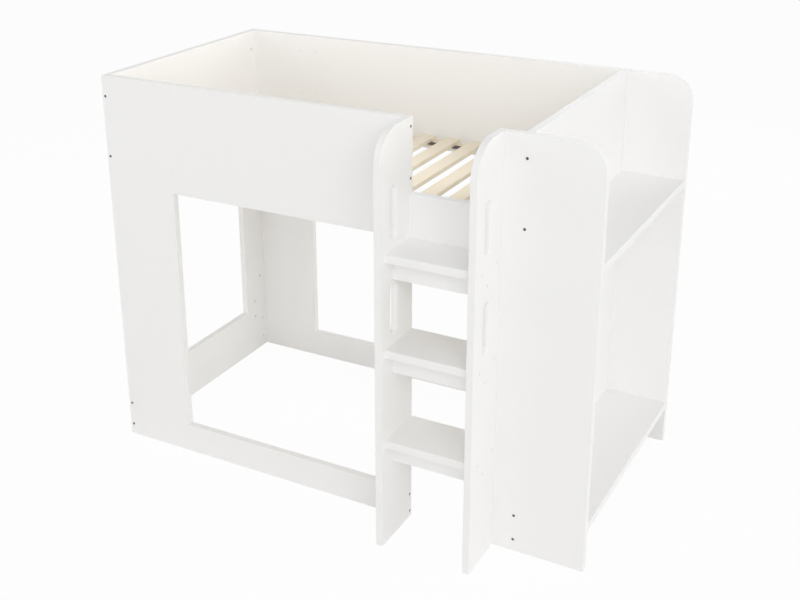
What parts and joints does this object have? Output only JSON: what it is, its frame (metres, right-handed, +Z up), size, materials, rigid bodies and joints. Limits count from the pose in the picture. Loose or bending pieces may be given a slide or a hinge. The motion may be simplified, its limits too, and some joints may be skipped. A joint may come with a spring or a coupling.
{
  "type": "children's loft bed",
  "caption": "White mid-height children's loft bed with slatted base, guard boards, fixed front ladder with grip slots, and an open bookcase across the head end.",
  "frame": {"origin": "middle of the footprint's bounding box, on the floor", "axes": "+X along the bed from the foot end to the bookcase, +Y from the ladder to the back, +Z up"},
  "size_m": [1.886, 1.146, 1.46],
  "materials": {
    "white_board": "satin white lacquered board",
    "pine": "raw planed pine",
    "beech": "raw turned beech",
    "webbing": "woven dark webbing",
    "zinc_steel": "zinc plated",
    "white_plastic": "satin"
  },
  "bodies": {
    "root": {"front_leg_board": "white_board", "front_guard_board": "white_board", "front_bottom_rail": "white_board", "back_leg_board": "white_board", "back_guard_board": "white_board", "back_bottom_rail": "white_board", "foot_top_board": "white_board", "foot_front_post": "white_board", "foot_back_post": "white_board", "foot_bottom_rail": "white_board", "head_end_panel": "white_board", "ladder_stile_left": "white_board", "ladder_stile_right": "white_board", "ladder_stop_board": "white_board", "tread_lower": "white_board", "tread_middle": "white_board", "tread_upper": "white_board", "tread_rail_lower": "white_board", "tread_rail_middle": "white_board", "tread_rail_upper": "white_board", "bookcase_side_front": "white_board", "bookcase_side_back": "white_board", "shelf_upper": "white_board", "shelf_lower": "white_board", "slat_cleat_front": "pine", "slat_cleat_back": "pine", "slat_01": "pine", "slat_02": "pine", "slat_03": "pine", "slat_04": "pine", "slat_05": "pine", "slat_06": "pine", "slat_07": "pine", "slat_08": "pine", "slat_09": "pine", "slat_10": "pine", "slat_11": "pine", "slat_12": "pine", "slat_13": "pine", "slat_14": "pine", "slat_15": "pine", "slat_straps": "webbing", "corner_bolts": "zinc_steel", "corner_barrel_nuts": "zinc_steel", "stile_bolts": "zinc_steel", "stile_barrel_nuts": "zinc_steel", "tread_screws": "zinc_steel", "cam_locks": "zinc_steel", "cam_bolts": "zinc_steel", "cleat_screws": "zinc_steel", "slat_screws": "zinc_steel", "cam_cover_caps": "white_plastic", "wooden_dowels": "beech"}
  },
  "joints": []
}
